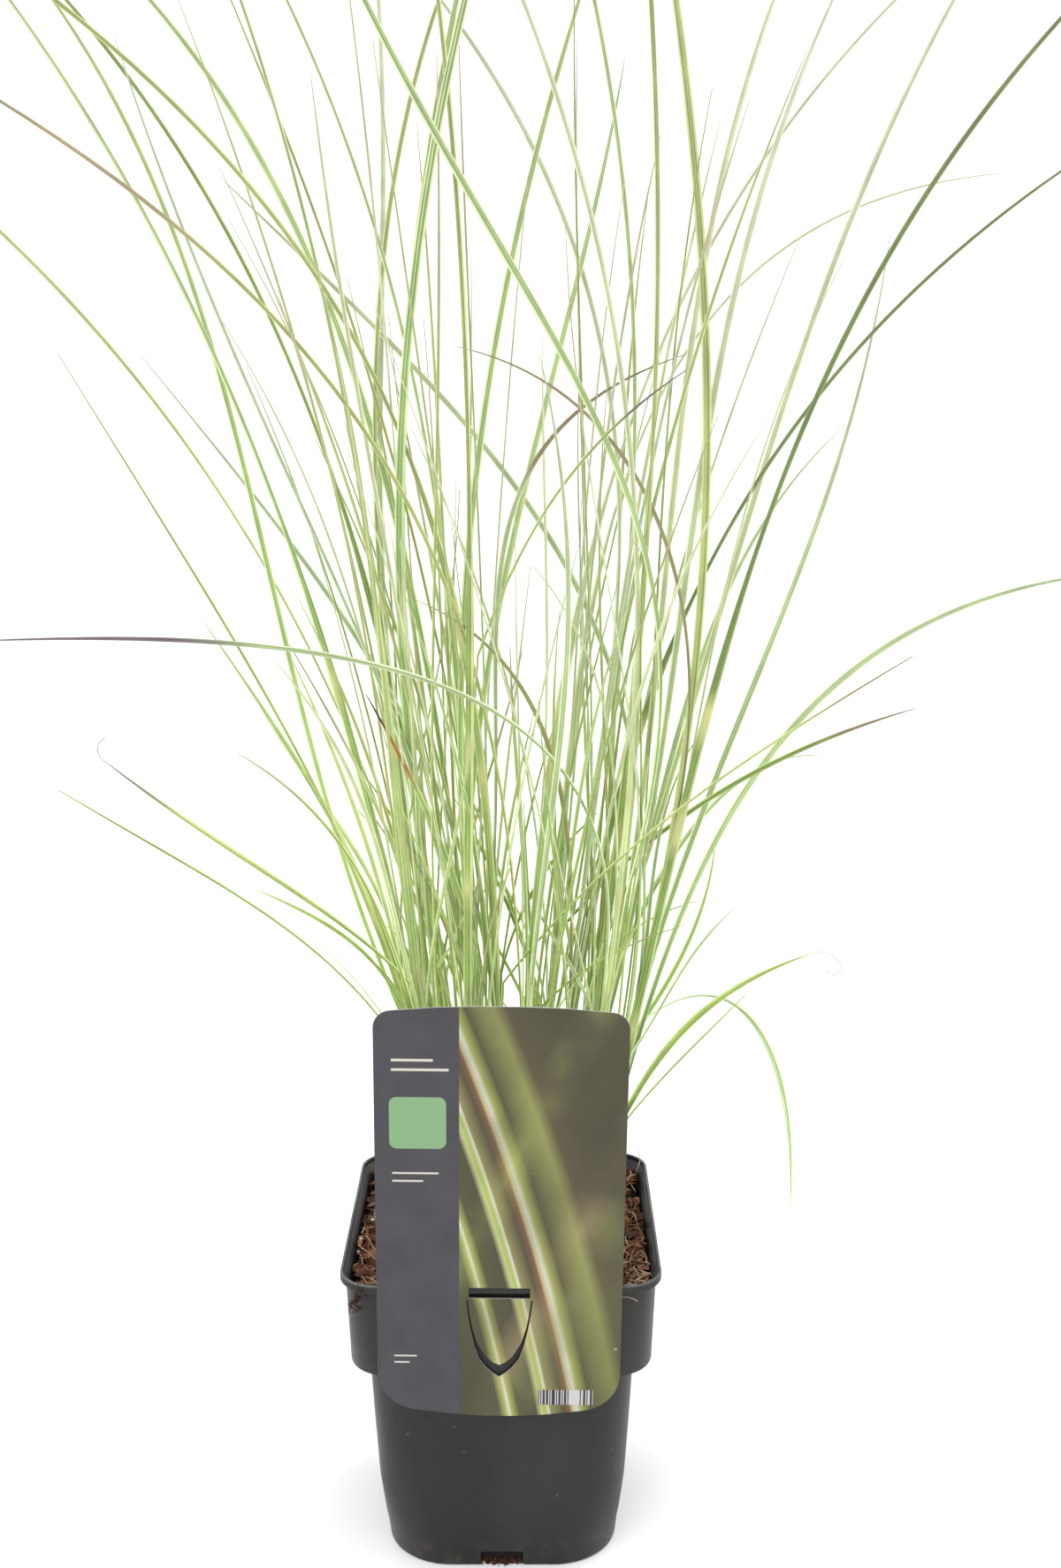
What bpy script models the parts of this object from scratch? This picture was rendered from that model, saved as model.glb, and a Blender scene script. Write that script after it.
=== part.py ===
# Potted miscanthus grass clump: a square nursery pot, the compost in it, a
# printed sheet hung on its front rim, and stems with long arching leaves.
# The origin is the middle of the pot's underside; the front of the pot faces -Y.

import math
from collections import namedtuple

import bmesh
import bpy
from mathutils import Matrix, Vector, noise

mm = 0.001
clearance = 0.3 * mm

# Pot: half widths of its square with round corners, and heights
pot_height = 137.0 * mm
base_half = 47.8 * mm
body_top_half = 55.0 * mm
collar_bottom_half = 61.7 * mm
collar_top_half = 63.0 * mm
lip_half = 65.0 * mm
collar_bottom = 95.3 * mm
lip_depth = 3.6 * mm
wall = 1.2 * mm
corner_steps = 4
notch_width = 18.0 * mm
notch_height = 7.0 * mm
notch_reach = 8.0 * mm

# Compost
soil_level = 127.0 * mm
soil_mound = 2.5 * mm
soil_lumps = 2.2 * mm
soil_floor = 1.8 * mm
root_depth = 8.0 * mm

# Label, in its own plane: the height 0 is where it meets the pot's lip
label_width = 97.6 * mm
label_top = 121.0 * mm
label_crown = 2.0 * mm
label_bottom = -57.6 * mm
label_sag = 6.0 * mm
label_thickness = 0.6 * mm
label_top_radius = 7.0 * mm
label_bottom_radius = 17.0 * mm
label_lean = math.radians(4.6)
label_roll = math.radians(0.65)
label_meets = 135.2 * mm
slot_middle = -0.7 * mm
slot_half_width = 12.2 * mm
slot_half_height = 2.4 * mm
tongue_top = -3.8 * mm
tongue_half = 12.6 * mm
tongue_tip = -33.6 * mm
opening_half = 13.2 * mm
opening_tip = -39.2 * mm

# Stems and leaves
stem_steps = 17
leaf_steps = 11
stem_sides = 6
blade_thickness = 0.9 * mm
tip_width = 0.3 * mm
foot_width_share = 0.7
leaf_shoulder = 0.4
tall_tip = 560.0 * mm
tall_taper = 5.0
low_taper = 2.2
keel_taper = 0.65
sheath_top = 0.42
flattening = 0.12
stem_taper = 0.25
depth_power = 1.5
plain_twist = 48
extra_twist = 26
stem_twist = 50

# A stem and the leaf that ends it: where it leaves the compost (mm), its lean to
# the right there (degrees from upright), the tip of its leaf (mm), the lean
# there, how full its arch is, its radius and its leaf's width (mm)
Stem = namedtuple("Stem", "x y lean tip_x tip_y tip_z tip_lean fullness radius width")
stems = [
    Stem(-20, -4, -6, -164, -30, 498, -29, 1.2, 1.8, 3),
    Stem(-19, 8, -9, -234, 30, 687, -42, 1.05, 2, 3.6),
    Stem(-18, -14, -9, -132, -25, 719, -26, 1.1, 1.8, 3.2),
    Stem(-15, 18, -5, -229, 68, 690, -50, 1.1, 1.8, 3.2),
    Stem(-9, 0, 4, -142, -10, 613, -16, 1.2, 1.8, 3),
    Stem(-12, -20, -2, -39, -75, 737, -12, 1.1, 2.1, 3.8),
    Stem(-5, 10, -4, -126, 50, 707, -34, 1.1, 1.8, 3.2),
    Stem(-1, -6, 0, -239, -60, 672, -62, 1.35, 1.9, 3.4),
    Stem(6, -16, 2, 216, 105, 688, 52, 1.2, 2, 3),
    Stem(14, 12, 5, 224, 130, 578, 84, 1.3, 1.8, 3),
    Stem(19, -2, 4, 256, 35, 590, 60, 1.2, 1.8, 3.2),
    Stem(26, -12, 9, -13, -40, 667, -28, 1.1, 2.1, 3.8),
    Stem(28, 6, 6, 39, -70, 731, -10, 1.1, 1.9, 3.4),
    Stem(32, -6, 14, 240, -50, 654, 49, 1.1, 2, 3.6),
]

# A leaf: the stem it grows on, the height of its foot (mm), its lean there, its
# tip (mm), the lean there, how full its arch is, and its width (mm)
Leaf = namedtuple("Leaf", "stem foot lean tip_x tip_y tip_z tip_lean fullness width")
leaves = [
    Leaf(12, 262, 3, -186, -92, 399, -90, 1.35, 3),
    Leaf(1, 205, -28, -165, -60, 338, -50, 1.15, 2.6),
    Leaf(5, 205, -28, -141, -85, 354, -40, 1.1, 2.6),
    Leaf(4, 215, -11, -252, 75, 584, -53, 1.05, 3),
    Leaf(9, 215, -1, -206, -110, 603, -63, 1.3, 3),
    Leaf(7, 230, -6, -206, 150, 699, -51, 1.1, 3),
    Leaf(6, 240, -6, -64, -60, 592, -5, 1.1, 2.2),
    Leaf(14, 250, 4, -126, 118, 576, -47, 1.3, 2.4),
    Leaf(8, 232, -5, -158, 92, 498, -42, 1.1, 2.2),
    Leaf(1, 215, -24, -216, 80, 679, -44, 1.1, 2.4),
    Leaf(8, 220, -7, -52, -28, 369, -27, 1.1, 2.6),
    Leaf(3, 225, -14, -100, -45, 349, -55, 1.1, 2.2),
    Leaf(2, 215, -13, -126, 40, 388, -36, 1.1, 2.2),
    Leaf(1, 228, -10, -99, 95, 370, -33, 1.1, 2.2),
    Leaf(4, 194, -8, 15, -103, 684, 22, 1.1, 3.4),
    Leaf(4, 235, -8, 8, -55, 698, 18, 1.1, 2.8),
    Leaf(4, 250, -14, -62, 159, 719, -8, 1.15, 2.8),
    Leaf(2, 245, -4, -6, 125, 699, 25, 1.1, 2.8),
    Leaf(14, 185, 13, 257, -22, 417, 88, 1.3, 3.4),
    Leaf(8, 245, 36, 145, -100, 395, 50, 1.1, 2.6),
    Leaf(10, 258, 38, 153, -70, 371, 63, 1.05, 2.6),
    Leaf(13, 215, 13, 140, 60, 326, 103, 1.05, 2.2),
    Leaf(14, 170, 21, 116, -80, 280, 55, 1.1, 2.6),
    Leaf(13, 200, 33, 117, -45, 160, 184, 2.8, 2.8),
    Leaf(12, 160, 30, 99, -25, 245, 40, 1.1, 2.4),
    Leaf(13, 188, 34, 96, 75, 287, 8, 1.1, 2.2),
    Leaf(13, 235, 18, 238, 140, 715, 36, 1.1, 2.6),
    Leaf(12, 240, 11, 137, 75, 697, 28, 1.1, 2.6),
    Leaf(12, 230, 14, 139, 42, 651, 27, 1.1, 2.8),
    Leaf(14, 225, 13, 48, 30, 737, -12, 1.1, 3.4),
    Leaf(11, 245, 10, 14, 95, 730, -18, 1.1, 3),
    Leaf(10, 262, 15, -56, 155, 686, -42, 1.2, 2.6),
    Leaf(12, 285, 15, -68, -115, 666, -22, 1.35, 3.2),
    Leaf(14, 200, 10, 160, 55, 546, 8, 1.1, 2.8),
    Leaf(13, 225, 19, 154, 110, 468, 52, 1.1, 2.2),
    Leaf(6, 385, 20, 67, -65, 492, 56, 1.1, 2.6),
    Leaf(14, 320, 10, -17, 12, 501, -78, 1.2, 2.4),
    Leaf(8, 300, 3, 73, 12, 498, 72, 1.4, 2.2),
    Leaf(6, 260, -2, 54, 135, 628, 10, 1.1, 2.6),
    Leaf(9, 227, 4, 15, -84, 498, -14, 1.1, 2.6),
    Leaf(11, 228, 2, -32, -37, 407, -66, 1.1, 2.2),
    Leaf(10, 240, -2, -43, 110, 469, -28, 1.1, 2.2),
    Leaf(6, 275, -4, 51, 165, 707, 18, 1.1, 2.8),
]


def clear_scene():
    for obj in list(bpy.data.objects):
        bpy.data.objects.remove(obj)


def new_collection(name):
    collection = bpy.data.collections.new(name)
    bpy.context.scene.collection.children.link(collection)
    return collection


def new_material(name, colour, roughness):
    material = bpy.data.materials.new(name)
    material.use_nodes = True
    shader = material.node_tree.nodes["Principled BSDF"]
    shader.inputs["Base Color"].default_value = (*colour, 1.0)
    shader.inputs["Roughness"].default_value = roughness
    shader.inputs["Metallic"].default_value = 0.0
    return material


def new_mesh_object(name, bm, collection, material=None, location=(0.0, 0.0, 0.0)):
    bmesh.ops.recalc_face_normals(bm, faces=bm.faces)
    mesh = bpy.data.meshes.new(name)
    bm.to_mesh(mesh)
    bm.free()
    obj = bpy.data.objects.new(name, mesh)
    obj.location = location
    if material:
        mesh.materials.append(material)
    collection.objects.link(obj)
    return obj


def make_cutter(obj):
    obj.hide_render = True
    obj.display_type = "WIRE"


# A square with round corners, as points going round counterclockwise
def square_ring(half, radius, height):
    points = []
    for corner in range(4):
        quarter = corner * math.pi / 2
        middle = quarter + math.pi / 4
        reach = (half - radius) * math.sqrt(2)
        for step in range(corner_steps + 1):
            angle = quarter + step / corner_steps * math.pi / 2
            points.append(Vector((
                reach * math.cos(middle) + radius * math.cos(angle),
                reach * math.sin(middle) + radius * math.sin(angle),
                height,
            )))
    return points


# A closed skin over rings that all have the same number of points
def loft(rings):
    bm = bmesh.new()
    rows = [[bm.verts.new(point) for point in ring] for ring in rings]
    count = len(rows[0])
    for lower, upper in zip(rows, rows[1:]):
        for i in range(count):
            j = (i + 1) % count
            bm.faces.new((lower[i], lower[j], upper[j], upper[i]))
    bm.faces.new(rows[0])
    bm.faces.new(rows[-1])
    return bm


# The pot's outer face from the floor up, as (half width, corner radius, height)
def pot_outside():
    lip_bottom = pot_height - lip_depth
    return [
        (base_half, 27.0 * mm, 0.0),
        (base_half + 0.9 * mm, 27.0 * mm, 1.4 * mm),
        (base_half + 1.5 * mm, 24.5 * mm, 10.0 * mm),
        (base_half + 2.8 * mm, 21.6 * mm, 22.0 * mm),
        (base_half + 4.1 * mm, 20.2 * mm, 35.0 * mm),
        (body_top_half, 17.5 * mm, collar_bottom),
        (collar_bottom_half - 1.0 * mm, 16.5 * mm, collar_bottom),
        (collar_bottom_half, 16.5 * mm, collar_bottom + 1.0 * mm),
        (collar_top_half, 15.5 * mm, lip_bottom - 0.8 * mm),
        (lip_half - 0.6 * mm, 15.0 * mm, lip_bottom),
        (lip_half, 15.0 * mm, lip_bottom + 0.8 * mm),
        (lip_half, 15.0 * mm, pot_height - 0.9 * mm),
        (lip_half - 0.4 * mm, 15.0 * mm, pot_height - 0.1 * mm),
    ]


# The pot's inner face from the lip down to the floor
def pot_inside():
    lip_bottom = pot_height - lip_depth
    return [
        (lip_half - wall, 14.4 * mm, pot_height),
        (lip_half - wall, 14.4 * mm, lip_bottom + 1.5 * wall),
        (collar_top_half - 1.2 * wall, 14.3 * mm, lip_bottom - 0.2 * mm),
        (collar_bottom_half - 1.7 * wall, 15.0 * mm, collar_bottom + 2.2 * wall),
        (body_top_half - wall, 16.3 * mm, collar_bottom + wall),
        (base_half + 4.1 * mm - wall, 19.0 * mm, 35.0 * mm),
        (base_half + 1.5 * mm - wall, 23.3 * mm, 10.0 * mm),
        (base_half - 0.8 * mm, 25.6 * mm, 1.3 * wall),
    ]


def build_pot(collection, cutters):
    rings = [square_ring(*station) for station in pot_outside() + pot_inside()]
    pot = new_mesh_object("pot", loft(rings), collection,
                          new_material("charcoal plastic", (0.045, 0.042, 0.041), 0.42))
    for side in range(4):
        bpy.ops.mesh.primitive_cube_add(size=1.0)
        cutter = bpy.context.object
        cutter.name = f"notch_cutter_{side + 1}"
        outward = base_half + 6.0 * mm
        inward = base_half - notch_reach
        shape = Matrix.Diagonal((notch_width, outward - inward, 2 * notch_height, 1.0))
        cutter.data.transform(shape)
        cutter.data.transform(Matrix.Translation((0.0, -(outward + inward) / 2, 0.0)))
        cutter.rotation_euler.z = side * math.pi / 2
        make_cutter(cutter)
        for home in list(cutter.users_collection):
            home.objects.unlink(cutter)
        cutters.objects.link(cutter)
        cut = pot.modifiers.new(f"drain notch {side + 1}", "BOOLEAN")
        cut.operation = "DIFFERENCE"
        cut.object = cutter
    return pot


# Height of the compost at a place inside the rim
def soil_height(x, y):
    spread = min(1.0, math.hypot(x, y) / collar_bottom_half)
    bumps = noise.noise(Vector((x, y, 0.0)) * 95.0) + 0.6 * noise.noise(Vector((x, y, 3.0 * mm)) * 210.0)
    return soil_level + soil_mound * (1.0 - spread * spread) + soil_lumps * bumps * spread


def build_soil(collection, cutters, feet):
    gap = clearance
    inner = pot_inside()
    rings = [square_ring(inner[-1][0] - gap, inner[-1][1], soil_floor + gap)]
    for half, radius, height in reversed(inner[3:-1]):
        rings.append(square_ring(half - 2 * gap, radius, height + gap))
    top_half = collar_top_half - 1.7 * wall - 3 * gap
    edge = square_ring(top_half, 14.5 * mm, soil_level - 1.0 * mm)
    rings.append(edge)
    for shrink in (0.93, 0.8, 0.66, 0.52, 0.38, 0.24, 0.1):
        rings.append([Vector((p.x * shrink, p.y * shrink, soil_height(p.x * shrink, p.y * shrink)))
                      for p in edge])
    soil = new_mesh_object("soil", loft(rings), collection,
                           new_material("coir compost", (0.09, 0.045, 0.027), 0.95))
    for number, (stem, points) in enumerate(feet, 1):
        direction = (points[1] - points[0]).normalized()
        bm = bmesh.new()
        radius = stem.radius * mm + 2 * clearance
        bmesh.ops.create_cone(bm, cap_ends=True, segments=8, radius1=radius, radius2=radius,
                              depth=2 * root_depth + 2 * clearance)
        cutter = new_mesh_object(f"root_cutter_{number}", bm, cutters, location=points[0])
        cutter.data.transform(Matrix.Translation((0.0, 0.0, root_depth)))
        cutter.rotation_euler = direction.to_track_quat("Z", "Y").to_euler()
        make_cutter(cutter)
        hole = soil.modifiers.new(f"root {number}", "BOOLEAN")
        hole.operation = "DIFFERENCE"
        hole.object = cutter
    return soil


# Points of an arc about a centre, angles in degrees
def arc_points(x, y, radius, start, end, steps=6):
    points = []
    for step in range(steps + 1):
        angle = math.radians(start + (end - start) * step / steps)
        points.append((x + radius * math.cos(angle), y + radius * math.sin(angle)))
    return points


# The label's outline, round from its top right corner
def label_outline():
    half = label_width / 2
    top, low = label_top, label_bottom
    corner, foot = label_top_radius, label_bottom_radius
    crown_points = [(x, top + label_crown * (1 - (x / half) ** 2)) for x in (0.024, 0.008, -0.008, -0.024)]
    sag_points = [(x, low + label_sag * (x / half) ** 2) for x in (-0.018, -0.006, 0.006, 0.018)]
    lift = label_sag * 0.45
    return (arc_points(half - corner, top - corner, corner, 0, 84)
            + crown_points
            + arc_points(corner - half, top - corner, corner, 96, 180)
            + arc_points(foot - half, low + foot + lift, foot, 180, 262)
            + sag_points
            + arc_points(half - foot, low + foot + lift, foot, 278, 360))


# The gap round the tongue: down its outer edge, then back up its inner edge
def tongue_gap():
    outer = [(1.0, 0.0), (0.955, 0.18), (0.87, 0.38), (0.76, 0.58), (0.6, 0.77),
             (0.39, 0.88), (0.2, 0.95), (0.0, 1.0)]
    inner = [(1.0, 0.0), (0.95, 0.2), (0.86, 0.42), (0.7, 0.66), (0.42, 0.87), (0.2, 0.96), (0.0, 1.0)]

    def side(profile, half, tip, sign):
        return [(sign * half * across, tongue_top + (tip - tongue_top) * down)
                for across, down in profile]

    return (side(outer, opening_half, opening_tip, 1)
            + side(outer, opening_half, opening_tip, -1)[-2::-1]
            + side(inner, tongue_half, tongue_tip, -1)
            + side(inner, tongue_half, tongue_tip, 1)[-2::-1])


def build_label(collection):
    curve = bpy.data.curves.new("label", "CURVE")
    curve.dimensions = "2D"
    curve.fill_mode = "BOTH"
    curve.extrude = label_thickness / 2
    slot_top, slot_low = slot_middle + slot_half_height, slot_middle - slot_half_height
    slot = [(slot_half_width, slot_top), (-slot_half_width, slot_top),
            (-slot_half_width, slot_low), (slot_half_width, slot_low)]
    for loop in (label_outline(), slot, tongue_gap()):
        spline = curve.splines.new("POLY")
        spline.points.add(len(loop) - 1)
        for point, (x, y) in zip(spline.points, loop):
            point.co = (x, y, 0.0, 1.0)
        spline.use_cyclic_u = True
    label = bpy.data.objects.new("label", curve)
    label.location = (-0.3 * mm, -(lip_half + clearance + label_thickness / 2), label_meets)
    label.rotation_euler = (math.pi / 2 + label_lean, label_roll, 0.0)
    curve.materials.append(new_material("printed sheet", (0.098, 0.095, 0.107), 0.4))
    collection.objects.link(label)
    return label


# A smooth arch from a foot to a tip: the leans set its ends' directions in the
# front view, and its depth changes faster and faster towards the tip
def arch(foot, lean, tip, tip_lean, fullness, steps):
    reach = fullness * math.hypot(tip.x - foot.x, tip.z - foot.z)
    start = Vector((math.sin(math.radians(lean)), 0.0, math.cos(math.radians(lean)))) * reach
    end = Vector((math.sin(math.radians(tip_lean)), 0.0, math.cos(math.radians(tip_lean)))) * reach
    points = []
    for step in range(steps + 1):
        t = step / steps
        point = (foot * (2 * t ** 3 - 3 * t ** 2 + 1) + start * (t ** 3 - 2 * t ** 2 + t)
                 + tip * (3 * t ** 2 - 2 * t ** 3) + end * (t ** 3 - t ** 2))
        point.y = foot.y + (tip.y - foot.y) * t ** depth_power
        points.append(point)
    return points


def tangent(points, i):
    return (points[min(i + 1, len(points) - 1)] - points[max(i - 1, 0)]).normalized()


# Across and outward directions of a blade at a point, turned about its length
def blade_axes(along, turn):
    across = along.cross(Vector((0.0, -1.0, 0.0))).normalized()
    outward = across.cross(along)
    return (across * math.cos(turn) + outward * math.sin(turn),
            outward * math.cos(turn) - across * math.sin(turn))


# Full width of a blade at a fraction of its length; one that ends high keeps its
# width for longer
def blade_width(blade, t):
    width = blade.width * mm
    if t < leaf_shoulder:
        return width * (foot_width_share + (1.0 - foot_width_share) * t / leaf_shoulder)
    taper = (t - leaf_shoulder) / (1.0 - leaf_shoulder)
    power = tall_taper if blade.tip_z * mm > tall_tip else low_taper
    return tip_width + (width - tip_width) * (1.0 - taper ** power)


def stem_points(stem, steps=stem_steps):
    z = soil_height(stem.x * mm, stem.y * mm) - root_depth
    foot = Vector((stem.x * mm, stem.y * mm, z))
    tip = Vector((stem.tip_x, stem.tip_y, stem.tip_z)) * mm
    return arch(foot, stem.lean, tip, stem.tip_lean, stem.fullness, steps)


# A round stem that flattens into the blade of its last leaf
def build_stem(number, stem, collection, material):
    points = stem_points(stem)
    twist = math.radians(stem_twist * math.sin(2.4 * number))
    rings = []
    for i, point in enumerate(points):
        t = i / stem_steps
        across, outward = blade_axes(tangent(points, i), twist * t)
        flat = min(1.0, max(0.0, (t - sheath_top) / flattening))
        radius = stem.radius * mm * (1.0 - stem_taper * t)
        blade = max(0.0, (t - sheath_top) / (1.0 - sheath_top))
        half = radius + (blade_width(stem, blade) / 2 - radius) * flat
        thick = radius + (blade_thickness / 2 * (1.0 - keel_taper * blade) - radius) * flat
        rings.append([point - points[0]
                      + across * half * math.cos(side * math.tau / stem_sides)
                      + outward * thick * math.sin(side * math.tau / stem_sides)
                      for side in range(stem_sides)])
    return new_mesh_object(f"culm_{number:02d}", loft(rings), collection, material, points[0])


# Where a leaf leaves its stem, and the level direction that it leaves towards
def leaf_foot(leaf):
    stem = stems[leaf.stem - 1]
    points = stem_points(stem, 60)
    above = next(i for i, point in enumerate(points) if point.z >= leaf.foot * mm)
    low, high = points[above - 1], points[above]
    middle = low.lerp(high, (leaf.foot * mm - low.z) / (high.z - low.z))
    tip = Vector((leaf.tip_x, leaf.tip_y, leaf.tip_z)) * mm
    trial = arch(middle, leaf.lean, tip, leaf.tip_lean, leaf.fullness, leaf_steps)[2]
    beside = next(point for point in points if point.z >= min(trial.z, points[-1].z))
    away = Vector((trial.x - beside.x, trial.y - beside.y, 0.0)).normalized()
    return middle + away * (stem.radius * mm + clearance), away, tip


# A blade with a flat upper face and a keel on its outer side
def build_leaf(number, leaf, collection, material):
    foot, away, tip = leaf_foot(leaf)
    points = arch(foot, leaf.lean, tip, leaf.tip_lean, leaf.fullness, leaf_steps)
    level, outward = blade_axes(tangent(points, 0), 0.0)
    turned = math.atan2(-away.dot(level), away.dot(outward))
    twist = math.radians(plain_twist + extra_twist * math.sin(2.4 * number)) * (1 if turned < 0 else -1)
    rings = []
    for i, point in enumerate(points):
        t = i / leaf_steps
        across, outward = blade_axes(tangent(points, i), turned + twist * t)
        half = blade_width(leaf, t) / 2
        keel = blade_thickness * (1.0 - keel_taper * t)
        rings.append([point - foot + across * half,
                      point - foot - across * half,
                      point - foot + outward * keel])
    return new_mesh_object(f"leaf_{number:02d}", loft(rings), collection, material, foot)


def build_part():
    clear_scene()
    collection = new_collection("potted_miscanthus_grass_clump")
    cutters = new_collection("cutters")
    build_pot(collection, cutters)
    build_soil(collection, cutters, [(stem, stem_points(stem)) for stem in stems])
    build_label(collection)
    stem_green = new_material("stem green", (0.36, 0.47, 0.16), 0.5)
    leaf_green = new_material("leaf green", (0.25, 0.42, 0.12), 0.45)
    for number, stem in enumerate(stems, 1):
        build_stem(number, stem, collection, stem_green)
    for number, leaf in enumerate(leaves, 1):
        build_leaf(number, leaf, collection, leaf_green)


build_part()
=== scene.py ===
import math
import random
from collections import namedtuple

import bmesh
import bpy
from mathutils import Matrix, Vector, noise


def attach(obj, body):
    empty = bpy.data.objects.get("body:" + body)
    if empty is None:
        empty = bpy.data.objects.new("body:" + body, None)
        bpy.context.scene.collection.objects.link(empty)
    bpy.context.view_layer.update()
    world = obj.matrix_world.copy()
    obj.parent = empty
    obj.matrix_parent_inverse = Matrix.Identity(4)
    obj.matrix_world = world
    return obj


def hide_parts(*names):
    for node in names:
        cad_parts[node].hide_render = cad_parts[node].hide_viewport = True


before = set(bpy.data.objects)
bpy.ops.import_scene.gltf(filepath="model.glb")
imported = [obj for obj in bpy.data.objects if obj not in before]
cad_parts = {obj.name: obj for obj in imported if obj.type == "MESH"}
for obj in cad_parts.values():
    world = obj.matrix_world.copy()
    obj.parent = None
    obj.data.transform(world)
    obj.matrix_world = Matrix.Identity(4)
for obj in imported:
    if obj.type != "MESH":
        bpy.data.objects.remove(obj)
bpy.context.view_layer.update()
scene = bpy.context.scene
mm = 0.001


def paint(red, green, blue):  # a screen colour as linear light
    def linear(level):
        level /= 255
        return level / 12.92 if level <= 0.04045 else ((level + 0.055) / 1.055) ** 2.4
    return linear(red), linear(green), linear(blue), 1.0


def ink(red, green, blue):  # the paint that is seen as this screen colour in the studio's light
    return tuple(level * viewSet["inkShare"] for level in paint(red, green, blue)[:3]) + (1.0,)


def blendTints(first, second, share):
    return tuple(a + (b - a) * share for a, b in zip(first, second))


def ease(value, low, high):  # 0 below low, 1 above high, smooth between
    t = min(1.0, max(0.0, (value - low) / (high - low)))
    return t * t * (3 - 2 * t)


# Camera and light

viewSet = {
    "place": (12, -740, 493), "pitch": 12.65, "lens": 42.6, "sensor": 36,
    "world": 1.32, "key": 14.0, "keyPlace": (-900, -1500, 1700), "keySize": 1400,
    "rim": 8.0, "rimPlace": (1300, 700, 1300), "rimSize": 1200,
    "floorHalf": 2600, "wallHeight": 2600, "bend": 700, "bendSteps": 12, "inkShare": 0.6,
}


def aimLight(name, place, target, size, watts):
    lamp = bpy.data.lights.new(name, "AREA")
    lamp.shape = "SQUARE"
    lamp.size = size * mm
    lamp.energy = watts
    holder = bpy.data.objects.new(name, lamp)
    holder.location = Vector(place) * mm
    aim = (Vector(target) - Vector(place)).to_track_quat("-Z", "Y")
    holder.rotation_euler = aim.to_euler()
    scene.collection.objects.link(holder)


def setView():
    f = viewSet
    lens = bpy.data.cameras.new("camera")
    lens.lens = f["lens"]
    lens.sensor_width = f["sensor"]
    lens.clip_start = 0.01
    camera = bpy.data.objects.new("camera", lens)
    camera.location = Vector(f["place"]) * mm
    camera.rotation_euler = (math.radians(90 - f["pitch"]), 0, 0)
    scene.collection.objects.link(camera)
    scene.camera = camera
    scene.view_settings.view_transform = "Standard"
    world = bpy.data.worlds.new("studio")
    world.use_nodes = True
    world.node_tree.nodes["Background"].inputs["Color"].default_value = (1, 1, 1, 1)
    world.node_tree.nodes["Background"].inputs["Strength"].default_value = f["world"]
    scene.world = world
    aimLight("key", f["keyPlace"], (0, 0, 200), f["keySize"], f["key"])
    aimLight("rim", f["rimPlace"], (0, 0, 300), f["rimSize"], f["rim"])


setView()
print("camera and lights set")


# Helpers for materials

def addNode(tree, kind, inputs=None, **settings):
    node = tree.nodes.new("ShaderNode" + kind)
    for key, value in settings.items():
        setattr(node, key, value)
    for key, value in (inputs or {}).items():
        if isinstance(value, bpy.types.NodeSocket):
            tree.links.new(value, node.inputs[key])
        else:
            node.inputs[key].default_value = value
    return node


def sums(tree, operation, first, second=0.0, third=0.0):
    node = addNode(tree, "Math", {0: first, 1: second, 2: third}, operation=operation)
    return node.outputs[0]


def times(tree, first, second):
    return sums(tree, "MULTIPLY", first, second)


def greyOf(tree, level):
    return addNode(tree, "CombineColor", {0: level, 1: level, 2: level}).outputs[0]


def mixPaint(tree, share, first, second, how="MIX"):
    node = addNode(tree, "Mix", {0: share, 6: first, 7: second}, data_type="RGBA", blend_type=how)
    return node.outputs[2]


def remap(tree, value, low, high, toLow=0.0, toHigh=1.0):
    node = addNode(tree, "MapRange", {0: value, 1: low, 2: high, 3: toLow, 4: toHigh},
                   interpolation_type="SMOOTHSTEP")
    return node.outputs[0]


def cloudy(tree, where, scale, detail=3.0, rough=0.5):
    node = addNode(tree, "TexNoise",
                   {"Vector": where, "Scale": scale, "Detail": detail, "Roughness": rough})
    return node.outputs[0]


def addRamp(tree, value, stops):
    node = addNode(tree, "ValToRGB", {0: value})
    steps = node.color_ramp.elements
    steps[0].position, steps[0].color = stops[0]
    steps[1].position, steps[1].color = stops[-1]
    for position, colour in stops[1:-1]:
        steps.new(position).color = colour
    return node.outputs[0]


def place(tree):  # object coordinates, in metres
    return addNode(tree, "TexCoord").outputs["Object"]


def trait(tree, name):  # a value or a colour kept on the mesh
    return addNode(tree, "Attribute", attribute_name=name)


def startGroup(name, inputs, outputs):
    tree = bpy.data.node_groups.new(name, "ShaderNodeTree")
    for label, kind in inputs:
        tree.interface.new_socket(name=label, in_out="INPUT", socket_type="NodeSocket" + kind)
    for label, kind in outputs:
        tree.interface.new_socket(name=label, in_out="OUTPUT", socket_type="NodeSocket" + kind)
    return tree, tree.nodes.new("NodeGroupInput").outputs, tree.nodes.new("NodeGroupOutput").inputs


def useGroup(tree, group, inputs):
    return addNode(tree, "Group", inputs, node_tree=group).outputs


def startMaterial(name, roughness, specular):
    material = bpy.data.materials.new(name)
    material.use_nodes = True
    shader = material.node_tree.nodes["Principled BSDF"]
    shader.inputs["Roughness"].default_value = roughness
    shader.inputs["Specular IOR Level"].default_value = specular
    return material, material.node_tree, shader.inputs


def addBump(tree, shader, height, distance, strength):
    bump = addNode(tree, "Bump", {"Height": height, "Strength": strength, "Distance": distance})
    tree.links.new(bump.outputs[0], shader["Normal"])


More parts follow.
